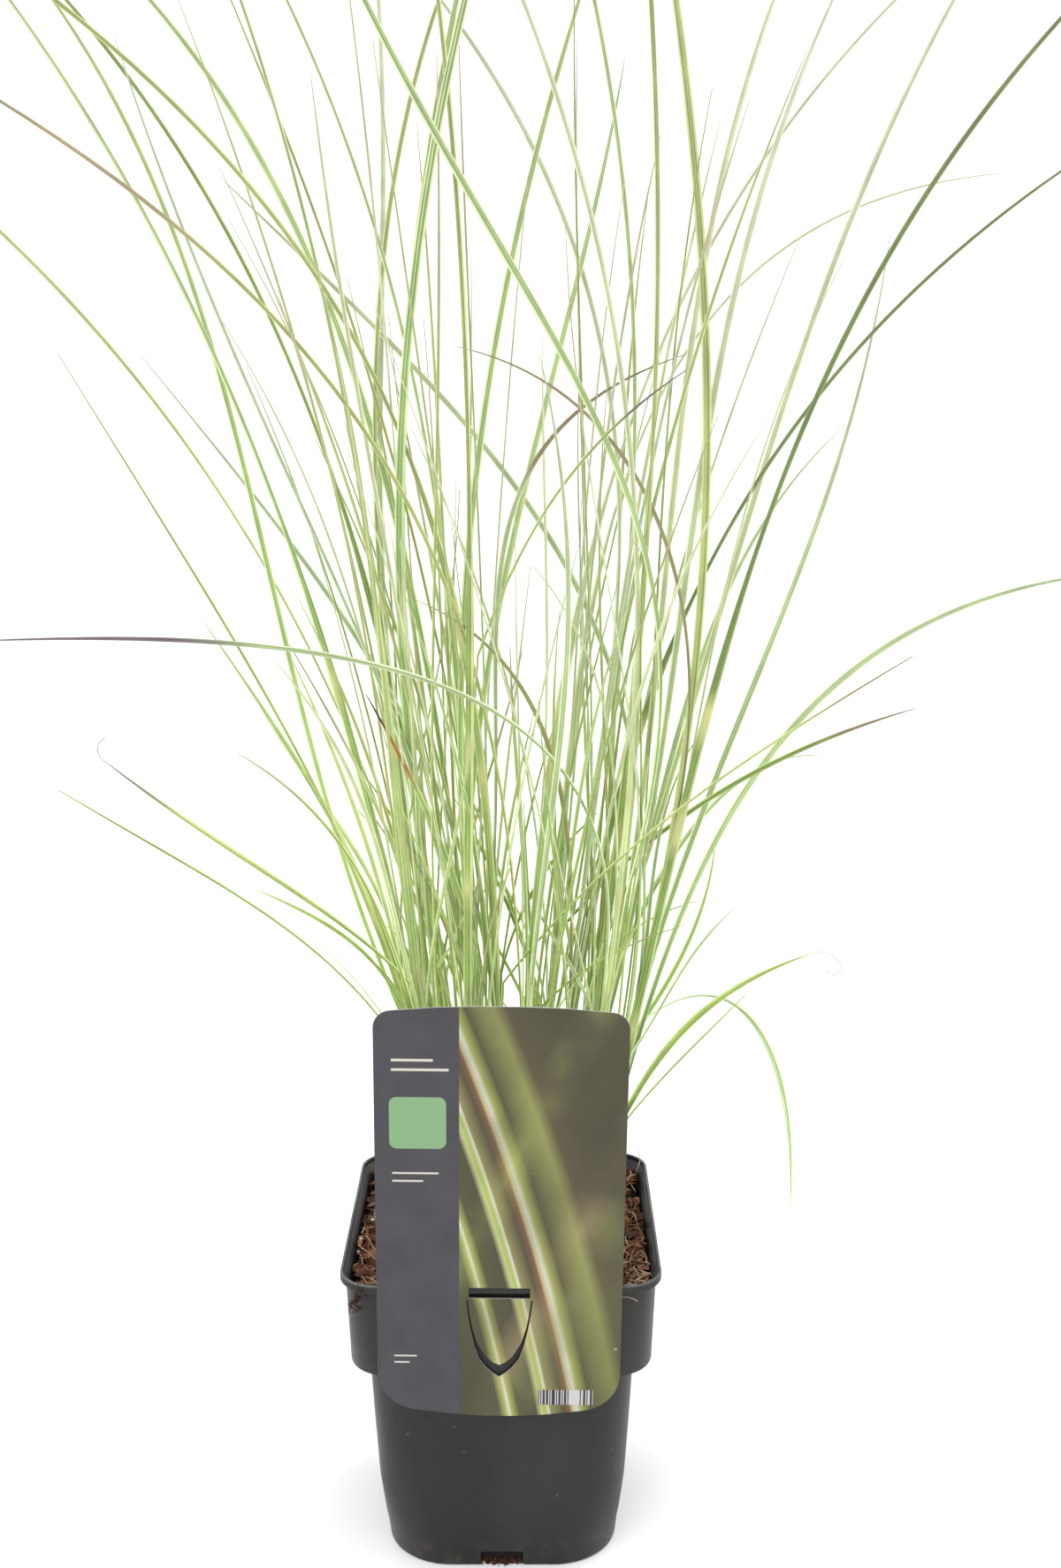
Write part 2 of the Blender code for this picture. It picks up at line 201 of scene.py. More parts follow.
def makeSpeckGroup():  # small pale specks of dust, as a mask
    tree, given, result = startGroup(
        "dustSpecks", [("Where", "Vector"), ("Scale", "Float"), ("Rarity", "Float")], [("Mask", "Float")])
    cells = addNode(tree, "TexVoronoi", {"Vector": given["Where"], "Scale": given["Scale"]})
    dots = remap(tree, cells.outputs["Distance"], 0.16, 0.05)
    chosen = addNode(tree, "SeparateColor", {0: cells.outputs["Color"]}).outputs[0]
    rare = sums(tree, "GREATER_THAN", chosen, given["Rarity"])
    tree.links.new(times(tree, dots, rare), result["Mask"])
    return tree


def makeStripeGroup():  # the core, pale margins and fine veins of a blade
    tree, given, result = startGroup(
        "bladeStripes",
        [("Across", "Float"), ("Along", "Float"), ("Seed", "Float"), ("Core", "Color"), ("Margin", "Color"),
         ("Where", "Vector")],
        [("Colour", "Color"), ("Height", "Float")])
    fromMiddle = sums(tree, "ABSOLUTE", sums(tree, "MULTIPLY_ADD", given["Across"], 2.0, -1.0))
    driftAt = addNode(tree, "CombineXYZ", {0: times(tree, given["Along"], 9.0), 1: given["Seed"]})
    drift = sums(tree, "MULTIPLY_ADD", cloudy(tree, driftAt.outputs[0], 1.0), 0.5, -0.25)
    edge = sums(tree, "ADD", fromMiddle, drift)
    marginMask = remap(tree, edge, 0.46, 0.7)
    streakAt = addNode(tree, "CombineXYZ", {
        0: times(tree, given["Across"], 7.0),
        1: times(tree, given["Along"], 2.5),
        2: given["Seed"]})
    streaks = cloudy(tree, streakAt.outputs[0], 1.3, 2.0)
    paleStreak = remap(tree, streaks, 0.52, 0.66, 0.0, 0.75)
    midrib = remap(tree, fromMiddle, 0.16, 0.04, 0.0, 0.55)
    pale = sums(tree, "MAXIMUM", sums(tree, "MAXIMUM", marginMask, paleStreak), midrib)
    colour = mixPaint(tree, pale, given["Core"], given["Margin"])
    veins = sums(tree, "SINE", times(tree, given["Across"], 82.0))
    shade = sums(tree, "MULTIPLY_ADD", veins, 0.05, 0.97)
    patches = remap(tree, cloudy(tree, given["Where"], 60.0), 0.3, 0.7, 0.88, 1.08)
    colour = mixPaint(tree, 1.0, colour, greyOf(tree, times(tree, shade, patches)), "MULTIPLY")
    tree.links.new(colour, result["Colour"])
    tree.links.new(veins, result["Height"])
    return tree


speckGroup = makeSpeckGroup()
stripeGroup = makeStripeGroup()


# Making pieces

def makePiece(name, bm, material, replaced=(), sharpAngle=40):
    bmesh.ops.recalc_face_normals(bm, faces=bm.faces)
    mesh = bpy.data.meshes.new(name)
    bm.to_mesh(mesh)
    bm.free()
    mesh.shade_smooth()
    mesh.set_sharp_from_angle(angle=math.radians(sharpAngle))
    mesh.materials.append(material)
    piece = bpy.data.objects.new(name, mesh)
    scene.collection.objects.link(piece)
    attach(piece, "root")
    if replaced:
        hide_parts(*replaced)
    return piece


def joinParts(parts):  # each part is drawn in a mesh of its own, which keeps its operators quick
    whole = bmesh.new()
    for part in parts:
        mesh = bpy.data.meshes.new("part")
        part.to_mesh(mesh)
        part.free()
        whole.from_mesh(mesh)
        bpy.data.meshes.remove(mesh)
    return whole


def dressNode(name, material):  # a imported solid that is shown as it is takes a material
    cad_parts[name].data.materials.clear()
    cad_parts[name].data.materials.append(material)


def applyModifiers(piece):
    shaped = bpy.data.meshes.new_from_object(piece.evaluated_get(bpy.context.evaluated_depsgraph_get()))
    piece.modifiers.clear()
    piece.data = shaped


# Studio floor, bent up behind the pot

def makeFloor():
    f = viewSet
    half, bend, wall = f["floorHalf"] * mm, f["bend"] * mm, f["wallHeight"] * mm
    bm = bmesh.new()
    edge = [bm.verts.new((-half, -half, 0)), bm.verts.new((half, -half, 0))]
    line = bm.edges.new(edge)
    steps = [(0, half * 2 - bend, 0)]
    turns = f["bendSteps"]
    for turn in range(turns):
        low, high = turn / turns * math.pi / 2, (turn + 1) / turns * math.pi / 2
        steps.append((0, bend * (math.sin(high) - math.sin(low)), bend * (math.cos(low) - math.cos(high))))
    steps.append((0, 0, wall))
    for step in steps:
        grown = bmesh.ops.extrude_edge_only(bm, edges=[line])
        corners = [g for g in grown["geom"] if isinstance(g, bmesh.types.BMVert)]
        bmesh.ops.translate(bm, verts=corners, vec=step)
        line = next(g for g in grown["geom"] if isinstance(g, bmesh.types.BMEdge)
                    and all(v in corners for v in g.verts))
    for face in bm.faces:
        face.smooth = True
    mesh = bpy.data.meshes.new("studioFloor")
    bm.to_mesh(mesh)
    bm.free()
    material, tree, shader = startMaterial("studioWhite", 0.9, 0.1)
    grain = remap(tree, cloudy(tree, place(tree), 3.0), 0.3, 0.7, 0.93, 0.95)
    tree.links.new(greyOf(tree, grain), shader["Base Color"])
    mesh.materials.append(material)
    floor = bpy.data.objects.new("studioFloor", mesh)
    scene.collection.objects.link(floor)


makeFloor()
print("floor laid")


# Pot: one moulded shell, drawn as a square with round corners at each height

potForm = {
    "height": 137.0, "baseHalf": 47.8, "bodyTopHalf": 55.0, "collarLowHalf": 61.7, "collarTopHalf": 63.0,
    "lipHalf": 65.0, "collarBottom": 95.3, "lipDepth": 3.6, "wall": 1.2,
    "cornerSteps": 14, "sideSteps": 8, "notchWidth": 18.0, "notchHeight": 7.0, "notchReach": 8.0,
    "notchOutside": 6, "notchBevel": 1.2, "sharpAngle": 32, "dustScale": 260.0, "dustRarity": 0.965,
}


def squareRing(half, radius, height):  # counterclockwise from the right side's upper end
    f = potForm
    points = []
    for corner in range(4):
        middle = (corner + 0.5) * math.pi / 2
        reach = (half - radius) * math.sqrt(2)
        centre = Vector((reach * math.cos(middle), reach * math.sin(middle), height))
        for step in range(f["cornerSteps"] + 1):
            angle = (corner + step / f["cornerSteps"]) * math.pi / 2
            points.append(centre + Vector((radius * math.cos(angle), radius * math.sin(angle), 0)))
        first = points[-f["cornerSteps"] - 1] - Vector((0, 0, height))
        after = Matrix.Rotation(math.pi / 2, 3, "Z") @ first
        last = points[-1].copy()
        for step in range(1, f["sideSteps"]):
            points.append(last.lerp(after + Vector((0, 0, height)), step / f["sideSteps"]))
    return points


def drawShell(bm, stations):  # a floor, then one extruded ring for each station
    rings = [squareRing(half * mm, radius * mm, height * mm) for half, radius, height in stations]
    made = bmesh.ops.create_circle(bm, cap_ends=True, segments=len(rings[0]), radius=1)
    corners = sorted(made["verts"], key=lambda v: math.atan2(v.co.y, v.co.x) % math.tau)
    for corner, spot in zip(corners, rings[0]):
        corner.co = spot
    loop = list({edge for corner in corners for edge in corner.link_edges})
    for ring in rings[1:]:
        grown = bmesh.ops.extrude_edge_only(bm, edges=loop)
        loop = [g for g in grown["geom"] if isinstance(g, bmesh.types.BMEdge)]
        fresh = [g for g in grown["geom"] if isinstance(g, bmesh.types.BMVert)]
        loop = [edge for edge in loop if edge.verts[0] in fresh and edge.verts[1] in fresh]
        lower = {corner: i for i, corner in enumerate(corners)}
        upper = [None] * len(corners)
        for corner in fresh:
            partner = next(edge.other_vert(corner) for edge in corner.link_edges
                           if edge.other_vert(corner) in lower)
            upper[lower[partner]] = corner
        for corner, spot in zip(upper, ring):
            corner.co = spot
        corners = upper
    bmesh.ops.contextual_create(bm, geom=loop)


def potStations():  # half width, corner radius and height of each ring, up the outside and down the inside
    f = potForm
    base, lipLow, collar = f["baseHalf"], f["height"] - f["lipDepth"], f["collarBottom"]
    wall, low, top = f["wall"], f["collarLowHalf"], f["collarTopHalf"]
    outside = [(base - 4, 24, 0.6), (base - 1.4, 26, 0), (base, 27, 0), (base + 0.6, 27, 0.5),
               (base + 0.9, 27, 1.4), (base + 1.1, 26.4, 4), (base + 1.5, 24.5, 10), (base + 2.2, 22.8, 16),
               (base + 2.8, 21.6, 22), (base + 4.1, 20.2, 35), (base + 5.6, 19, 62),
               (f["bodyTopHalf"] - 0.1, 17.5, collar - 0.8), (f["bodyTopHalf"] + 0.5, 17.4, collar),
               (low - 0.9, 16.5, collar), (low - 0.25, 16.5, collar + 0.3), (low, 16.5, collar + 1),
               (top, 15.5, lipLow - 0.9), (top + 0.5, 15.3, lipLow - 0.35), (f["lipHalf"] - 0.5, 15, lipLow),
               (f["lipHalf"], 15, lipLow + 0.6), (f["lipHalf"], 15, f["height"] - 0.5),
               (f["lipHalf"] - 0.15, 15, f["height"] - 0.15), (f["lipHalf"] - 0.5, 14.8, f["height"])]
    inside = [(f["lipHalf"] - 0.8 * wall, 14.4, f["height"]), (f["lipHalf"] - wall, 14.4, f["height"] - 0.3),
              (f["lipHalf"] - wall, 14.4, lipLow + 1.5 * wall), (top - 1.1 * wall, 14.3, lipLow),
              (top - 1.4 * wall, 14.3, lipLow - 1), (low - 1.7 * wall, 15, collar + 2.2 * wall),
              (f["bodyTopHalf"] - wall, 16.3, collar + wall), (base + 4.1 - wall, 19, 35),
              (base + 1.5 - wall, 23.3, 10), (base - 0.8, 25.6, 1.3 * wall)]
    return outside + inside


def makePotMaterial():
    material, tree, shader = startMaterial("charcoalPlastic", 0.4, 0.28)
    where = place(tree)
    cloud = remap(tree, cloudy(tree, where, 22.0, 5.0), 0.3, 0.75)
    drawn = addNode(tree, "Mapping", {0: where, 3: (9, 9, 2.2)}).outputs[0]  # drawn out upwards
    smudge = remap(tree, cloudy(tree, drawn, 2.0, 4.0), 0.42, 0.72)
    colour = mixPaint(tree, cloud, paint(27, 27, 26), paint(35, 34, 33))
    colour = mixPaint(tree, times(tree, smudge, 0.3), colour, paint(54, 52, 51))
    height = addNode(tree, "SeparateXYZ", {0: where}).outputs[2]
    soiled = times(tree, remap(tree, height, 0.02, 0.0), remap(tree, cloudy(tree, where, 160.0), 0.45, 0.7))
    colour = mixPaint(tree, times(tree, soiled, 0.5), colour, paint(66, 57, 49))
    patchy = remap(tree, cloudy(tree, where, 40.0), 0.3, 0.7, 0.3, 0.8)
    lipTopHighlight = times(tree, remap(tree, height, 0.1362, 0.1369), patchy)  # the top of the lip: a painted highlight along its top edge, in patches
    colour = mixPaint(tree, lipTopHighlight, colour, paint(104, 103, 104))
    fine = useGroup(tree, speckGroup, {"Where": where, "Scale": potForm["dustScale"],
                                       "Rarity": potForm["dustRarity"]})["Mask"]
    coarse = useGroup(tree, speckGroup, {"Where": where, "Scale": 120.0, "Rarity": 0.985})["Mask"]
    dust = sums(tree, "MAXIMUM", fine, coarse)
    colour = mixPaint(tree, times(tree, dust, 0.45), colour, paint(120, 114, 104))
    tree.links.new(colour, shader["Base Color"])
    rough = sums(tree, "MULTIPLY_ADD", cloud, 0.12, 0.36)
    tree.links.new(sums(tree, "MULTIPLY_ADD", smudge, 0.08, rough), shader["Roughness"])
    grain = sums(tree, "ADD", cloudy(tree, where, 1400.0, 2.0), times(tree, cloudy(tree, where, 90.0), 0.8))
    addBump(tree, shader, grain, 0.00012, 0.5)
    return material


def makePot():
    f = potForm
    bm = bmesh.new()
    drawShell(bm, potStations())
    pot = makePiece("potShell", bm, makePotMaterial(), ["pot"], f["sharpAngle"])
    cutters = []
    outward, inward = f["baseHalf"] + f["notchOutside"], f["baseHalf"] - f["notchReach"]
    for side in range(4):
        bm = bmesh.new()
        bmesh.ops.create_cube(bm, size=1, matrix=Matrix.Diagonal(
            (f["notchWidth"] * mm, (outward - inward) * mm, 2 * f["notchHeight"] * mm, 1)))
        bmesh.ops.translate(bm, verts=bm.verts, vec=(0, -(outward + inward) / 2 * mm, 0))
        bmesh.ops.bevel(bm, geom=[e for e in bm.edges if abs(e.verts[0].co.y - e.verts[1].co.y) > 0.001],
                        offset=f["notchBevel"] * mm, affect="EDGES", segments=3, profile=0.5,
                        material=-1)
        bmesh.ops.rotate(bm, verts=bm.verts, matrix=Matrix.Rotation(side * math.pi / 2, 3, "Z"))
        mesh = bpy.data.meshes.new("notchCutter")
        bm.to_mesh(mesh)
        bm.free()
        cutter = bpy.data.objects.new("notchCutter", mesh)
        scene.collection.objects.link(cutter)
        cutters.append(cutter)
        cut = pot.modifiers.new("drainNotch", "BOOLEAN")
        cut.operation = "DIFFERENCE"
        cut.object = cutter
    applyModifiers(pot)
    for cutter in cutters:
        bpy.data.objects.remove(cutter)
    pot.data.set_sharp_from_angle(angle=math.radians(f["sharpAngle"]))


makePot()
print("pot moulded")


# Compost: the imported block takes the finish, and chips and fibres lie on it

compostForm = {
    "level": 127.0, "mound": 2.5, "lumps": 2.2, "half": 60.0, "corner": 14.0,
    "chips": 900, "chipLength": (4, 13), "fibres": 1300, "fibreLength": (6, 20), "grains": 45, "seed": 11,
    "chipReach": 60.6, "bank": 6.5, "bankFrom": 47, "bankTo": 59, "wallChips": 420,
    "palePile": 30, "pileAt": (55.5, -40, 131), "pileSpread": (2.5, 9, 3), "pileReach": 61,
    "dryCurl": [(60, 50, 132), (62, 50, 139), (61.6, 50, 144), (59, 50, 147.6), (56, 50, 148.4),
                (54.4, 50, 146)],
    "rimCrumb": ((-57.5, -65.4, 131), (1.3, 0.4, 2.4), 16),
    # dark bits of compost in the drain notches, also painted shade for their shaded insides
    "notchShadeCrumbs": [((0, -44.4, 1.9), (4.4, 1.1, 0.9), 70), ((0, -46.6, 0.8), (4.6, 0.7, 0.5), 90)],
}


def compostHeight(x, y):  # metres, the same rule as the solid's top
    f = compostForm
    spread = min(1.0, math.hypot(x, y) / (potForm["collarLowHalf"] * mm))
    bumps = noise.noise(Vector((x, y, 0)) * 95) + 0.6 * noise.noise(Vector((x, y, 3 * mm)) * 210)
    return (f["level"] + f["mound"] * (1 - spread * spread) + f["lumps"] * bumps * spread) * mm


def insideRim(x, y):  # millimetres, is it within the rounded square
    half, corner = compostForm["half"], compostForm["corner"]
    dx, dy = max(0, abs(x) - half + corner), max(0, abs(y) - half + corner)
    return math.hypot(dx, dy) <= corner


def makeCompostMaterial(name, dark, middle, light):
    material, tree, shader = startMaterial(name, 0.85, 0.25)
    where = place(tree)
    tint = trait(tree, "tone").outputs["Fac"]
    grain = cloudy(tree, where, 700.0, 4.0, 0.65)
    share = sums(tree, "MULTIPLY_ADD", grain, 0.5, sums(tree, "MULTIPLY_ADD", tint, 0.8, -0.15))
    colour = addRamp(tree, share, [(0.05, dark), (0.5, middle), (0.95, light)])
    tree.links.new(colour, shader["Base Color"])
    tree.links.new(sums(tree, "MULTIPLY_ADD", grain, 0.3, 0.62), shader["Roughness"])
    addBump(tree, shader, grain, 0.0005, 0.8)
    return material


def randomSpot(chance):
    half = compostForm["half"]
    while True:
        x, y = chance.uniform(-half, half), chance.uniform(-half, half)
        if insideRim(x, y):
            return x * mm, y * mm


def bank(x, y):  # metres that the loose crumbs are heaped up against the wall
    f = compostForm
    return f["bank"] * mm * ease(max(abs(x), abs(y)) / mm, f["bankFrom"], f["bankTo"])


def dressTone(bm, tone):
    layer = bm.verts.layers.float.new("tone")
    for vert in bm.verts:
        vert[layer] = tone
    return bm


def drawChips():  # flat splinters of bark, each a small ball pressed and bent by noise
    f = compostForm
    chance = random.Random(f["seed"])
    reach = f["chipReach"] * mm
    for number in range(f["chips"] + f["wallChips"]):
        x, y = randomSpot(chance)
        while number >= f["chips"] and max(abs(x), abs(y)) < f["bankFrom"] * mm:
            x, y = randomSpot(chance)
        long = chance.uniform(*f["chipLength"]) * chance.uniform(0.5, 1)
        wide, thick = long * chance.uniform(0.22, 0.6), chance.uniform(0.6, 2.0)
        turn = Matrix.Rotation(chance.uniform(0, math.tau), 4, "Z")
        tip = Matrix.Rotation(chance.gauss(0, 0.38), 4, "X") @ Matrix.Rotation(chance.gauss(0, 0.3), 4, "Y")
        centre = Matrix.Translation((x, y, compostHeight(x, y) + chance.uniform(-0.5, 1.5) * mm
                                     + bank(x, y) * chance.random() ** 0.6))
        bm = bmesh.new()
        bmesh.ops.create_icosphere(bm, subdivisions=1, radius=0.5 * mm)
        for vert in bm.verts:
            rough = noise.noise(vert.co * 1900 + Vector((number, 0, 0)))
            vert.co = Vector((vert.co.x * long, vert.co.y * wide, vert.co.z * thick)) * (1 + 0.75 * rough)
        bmesh.ops.transform(bm, verts=bm.verts, matrix=centre @ turn @ tip)
        for vert in bm.verts:
            vert.co.x = min(max(vert.co.x, -reach), reach)
            vert.co.y = min(max(vert.co.y, -reach), reach)
        yield dressTone(bm, chance.random())


def addThread(points, radius, sides=4):  # a thin rod along a few points
    bm = bmesh.new()
    made = bmesh.ops.create_circle(bm, cap_ends=True, segments=sides, radius=radius)["verts"]
    start = (points[1] - points[0]).normalized()
    turn = start.to_track_quat("Z", "X").to_matrix().to_4x4()
    bmesh.ops.transform(bm, verts=made, matrix=Matrix.Translation(points[0]) @ turn)
    loop = list({edge for vert in made for edge in vert.link_edges})
    for before, point in zip(points, points[1:]):
        grown = bmesh.ops.extrude_edge_only(bm, edges=loop)["geom"]
        fresh = [g for g in grown if isinstance(g, bmesh.types.BMVert)]
        loop = [g for g in grown if isinstance(g, bmesh.types.BMEdge) and all(v in fresh for v in g.verts)]
        bmesh.ops.translate(bm, verts=fresh, vec=point - before)
    bmesh.ops.contextual_create(bm, geom=loop)
    return bm


def drawFibres():  # curled coir threads lying over the chips
    f = compostForm
    chance = random.Random(f["seed"] + 1)
    for _ in range(f["fibres"]):
        x, y = randomSpot(chance)
        length, course = chance.uniform(*f["fibreLength"]), chance.uniform(0, math.tau)
        curl = chance.gauss(0, 1.1)
        points = []
        for step in range(6):
            angle = course + curl * step / 5
            x += math.cos(angle) * length / 5 * mm
            y += math.sin(angle) * length / 5 * mm
            if not insideRim(x / mm, y / mm):
                break
            lift = (0.6 + 1.6 * math.sin(step / 5 * math.pi) * chance.random()) * mm
            points.append(Vector((x, y, compostHeight(x, y) + lift + bank(x, y) * 0.9)))
        if len(points) > 2:
            yield dressTone(addThread(points, chance.uniform(0.1, 0.24) * mm), chance.random())
    at, spread = f["pileAt"], f["pileSpread"]
    for _ in range(f["palePile"]):  # a tangle of dry pale fibres by the right wall
        middle = Vector((chance.gauss(at[0], spread[0]), chance.gauss(at[1], spread[1]),
                         at[2] + chance.random() * spread[2]))
        aim = Vector((chance.gauss(0, 1), chance.gauss(0, 1), chance.gauss(0, 0.2))).normalized()
        bend = Vector((aim.y, -aim.x, chance.gauss(0, 0.3))) * chance.gauss(0, 0.3)
        points = [(middle + aim * step * 2 + bend * step * step) * mm for step in range(-2, 3)]
        for point in points:
            point.x = min(point.x, f["pileReach"] * mm)
        yield dressTone(addThread(points, chance.uniform(0.1, 0.2) * mm), 1.1)
    yield dressTone(addThread([Vector(point) * mm for point in f["dryCurl"]], 0.22 * mm), 1.0)


def drawStraysAndNotchShade():  # a crumb that hangs over the rim, and dark bits of compost in the drain notches, kept dark as painted shade for the notches' shaded insides
    f = compostForm
    chance = random.Random(f["seed"] + 3)
    spots = [f["rimCrumb"]]
    for side in range(4):
        turn = Matrix.Rotation(side * math.pi / 2, 3, "Z")
        spots += [(turn @ Vector(middle), turn @ Vector(spread), count)
                  for middle, spread, count in f["notchShadeCrumbs"]]
    for middle, spread, count in spots:
        for number in range(count):
            centre = Vector(chance.gauss(a, abs(b)) for a, b in zip(middle, spread))
            if number % 3:
                aim = Vector((chance.gauss(0, 1), chance.gauss(0, 0.25), chance.gauss(0, 1))).normalized()
                bend = Vector((chance.gauss(0, 1), 0, chance.gauss(0, 1)))
                points = [(centre + aim * step * 1.3 + bend * step * step * 0.14) * mm
                          for step in range(-2, 3)]
                bm = addThread(points, chance.uniform(0.14, 0.3) * mm)
            else:
                bm = bmesh.new()
                bmesh.ops.create_icosphere(bm, subdivisions=1, radius=chance.uniform(0.5, 1.3) * mm)
                for vert in bm.verts:
                    vert.co *= 1 + 0.7 * noise.noise(vert.co * 1300 + Vector((number, 0, 0)))
                bmesh.ops.translate(bm, verts=bm.verts, vec=centre * mm)
            for vert in bm.verts:
                vert.co.z = max(vert.co.z, 0.1 * mm)
            # low tones: the rim crumb is its own dark brown, and the bits in the notches are also painted
            # shade
            yield dressTone(bm, chance.random() * 0.45)


def drawGrains():  # small pale grains between the chips
    chance = random.Random(compostForm["seed"] + 2)
    for number in range(compostForm["grains"]):
        x, y = randomSpot(chance)
        size = chance.uniform(0.3, 0.9) * mm
        bm = bmesh.new()
        bmesh.ops.create_icosphere(bm, subdivisions=1, radius=size)
        for vert in bm.verts:
            vert.co *= 1 + 0.5 * noise.noise(vert.co * 1500 + Vector((number, 0, 0)))
        bmesh.ops.translate(bm, verts=bm.verts, vec=(x, y, compostHeight(x, y) + 0.9 * mm + bank(x, y)))
        yield dressTone(bm, chance.random())


barkPaint = makeCompostMaterial("barkChip", paint(26, 14, 9), paint(82, 44, 28), paint(142, 98, 70))
coirPaint = makeCompostMaterial("coirFibre", paint(70, 36, 20), paint(134, 82, 52), paint(206, 184, 152))
grainPaint = makeCompostMaterial("mineralGrain", paint(110, 100, 88), paint(190, 184, 172),
                                 paint(232, 228, 220))
blockPaint = makeCompostMaterial("compostBlock", paint(14, 9, 7), paint(46, 27, 20), paint(96, 60, 44))
dressNode("soil", blockPaint)
makePiece("barkChips", joinParts(drawChips()), barkPaint, sharpAngle=12)
makePiece("coirFibres", joinParts(drawFibres()), coirPaint)
makePiece("strayCrumbsAndNotchShade", joinParts(drawStraysAndNotchShade()), barkPaint, sharpAngle=12)
makePiece("whiteGrains", joinParts(drawGrains()), grainPaint)
print("compost strewn")


# Printed sheet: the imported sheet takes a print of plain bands, bars and soft streaks

sheetForm = {
    "meets": (-0.3, -65.6, 135.2), "lean": 4.6, "roll": 0.65, "panelLeft": -16.0,
    "squareX": -32.0, "squareUp": 74.0, "squareHalf": 11.0, "squareCorner": 3, "streakLean": 14.0,
    "barsUp": (-52.0, -45.0), "barsAcross": (16.0, 38.0), "barsPerMm": 2.2,
}

# Plain rules on the dark band: low, high, left and right edges
sheetRules = [(96, 97.1, -42, -20), (100, 101.1, -42, -26), (52, 52.8, -42, -24),
              (48.6, 49.4, -42, -30), (-30, -29.3, -42, -33), (-33, -32.3, -42, -36)]


def makeSheetMaterial():
    f = sheetForm
    material, tree, shader = startMaterial("printedSheet", 0.36, 0.28)
    own = addNode(tree, "Mapping", {
        "Vector": place(tree),
        "Location": Vector(f["meets"]) * mm,
        "Rotation": (math.radians(90 + f["lean"]), math.radians(f["roll"]), 0)},
        vector_type="TEXTURE").outputs[0]
    split = addNode(tree, "SeparateXYZ", {0: own}).outputs
    across, up = times(tree, split[0], 1000.0), times(tree, split[1], 1000.0)

    def band(value, low, high, soft=0.12):
        return times(tree, remap(tree, value, low - soft, low + soft),
                     remap(tree, value, high + soft, high - soft))

    lean = math.radians(f["streakLean"])
    bow = times(tree, times(tree, up, up), 0.0006)
    level = sums(tree, "MULTIPLY_ADD", across, math.cos(lean), bow)
    slant = sums(tree, "ADD", level, times(tree, up, math.sin(lean)))
    sharp = addRamp(tree, remap(tree, slant, -40.0, 60.0), [
        (0.0, ink(78, 76, 56)), (0.2, ink(84, 82, 58)), (0.235, ink(190, 198, 110)),
        (0.25, ink(240, 240, 214)), (0.262, ink(186, 190, 104)), (0.3, ink(92, 90, 58)),
        (0.4, ink(84, 80, 60)), (0.43, ink(214, 216, 154)), (0.455, ink(188, 208, 86)),
        (0.475, ink(242, 242, 226)), (0.485, ink(162, 156, 100)), (0.56, ink(88, 82, 60)),
        (0.6, ink(140, 100, 70)), (0.612, ink(208, 190, 140)), (0.64, ink(230, 231, 206)),
        (0.665, ink(174, 182, 96)), (0.72, ink(92, 88, 60)), (0.85, ink(158, 162, 94)),
        (0.9, ink(96, 88, 62)), (1.0, ink(80, 76, 58))])
    other = sums(tree, "SUBTRACT", times(tree, across, 0.9), times(tree, up, 0.42))
    soft = addRamp(tree, remap(tree, other, -70.0, 70.0), [
        (0.0, ink(78, 76, 56)), (0.22, ink(94, 92, 60)), (0.3, ink(186, 193, 110)), (0.4, ink(92, 90, 60)),
        (0.58, ink(84, 80, 58)), (0.68, ink(198, 176, 132)), (0.76, ink(154, 160, 96)),
        (1.0, ink(78, 74, 56))])
    blurred = remap(tree, cloudy(tree, own, 26.0, 2.0), 0.38, 0.62, 0.05, 0.4)
    panel = mixPaint(tree, blurred, sharp, soft)
    slate = mixPaint(tree, remap(tree, cloudy(tree, own, 60.0), 0.3, 0.7), ink(76, 74, 80), ink(83, 81, 87))
    border = f["panelLeft"]
    colour = mixPaint(tree, remap(tree, across, border - 0.15, border + 0.15), slate, panel)
    corner, beyond = f["squareCorner"], []
    for value, middle in ((across, f["squareX"]), (up, f["squareUp"])):
        away = sums(tree, "ABSOLUTE", sums(tree, "SUBTRACT", value, middle))
        past = sums(tree, "MAXIMUM", sums(tree, "SUBTRACT", away, f["squareHalf"] - corner), 0.0)
        beyond.append(times(tree, past, past))
    rounded = sums(tree, "SQRT", sums(tree, "ADD", *beyond))
    colour = mixPaint(tree, remap(tree, rounded, corner + 0.1, corner - 0.1), colour, ink(148, 190, 140))
    for low, high, left, right in sheetRules:
        rule = times(tree, band(up, low, high), band(across, left, right))
        colour = mixPaint(tree, rule, colour, ink(232, 226, 214))
    patch = times(tree, band(up, *f["barsUp"]), band(across, *f["barsAcross"]))
    counted = sums(tree, "FLOOR", times(tree, across, f["barsPerMm"]))
    bars = addNode(tree, "CombineXYZ", {0: counted}).outputs[0]
    toss = addNode(tree, "TexWhiteNoise", {"Vector": bars}).outputs[0]
    bar = sums(tree, "GREATER_THAN", toss, 0.5)
    colour = mixPaint(tree, patch, colour, mixPaint(tree, bar, ink(60, 56, 58), ink(225, 222, 222)))
    dust = useGroup(tree, speckGroup, {"Where": own, "Scale": 150.0, "Rarity": 0.99})["Mask"]
    colour = mixPaint(tree, times(tree, dust, 0.6), colour, ink(190, 186, 178))
    normal = addNode(tree, "NewGeometry").outputs["Normal"]
    facing = addNode(tree, "SeparateXYZ", {0: normal}).outputs[1]
    rim = band(sums(tree, "ABSOLUTE", facing), -1.0, 0.7, 0.05)
    colour = mixPaint(tree, rim, colour, ink(206, 204, 200))
    colour = mixPaint(tree, remap(tree, facing, 0.6, 0.8), colour, ink(222, 221, 218))  # its back is bare
    tree.links.new(colour, shader["Base Color"])
    tree.links.new(sums(tree, "MULTIPLY_ADD", cloudy(tree, own, 90.0), 0.14, 0.3), shader["Roughness"])
    addBump(tree, shader, cloudy(tree, own, 24.0, 1.0), 0.0004, 0.25)
    return material


dressNode("label", makeSheetMaterial())
print("sheet printed")


# Grass: stems and leaves follow the same arches as their solids

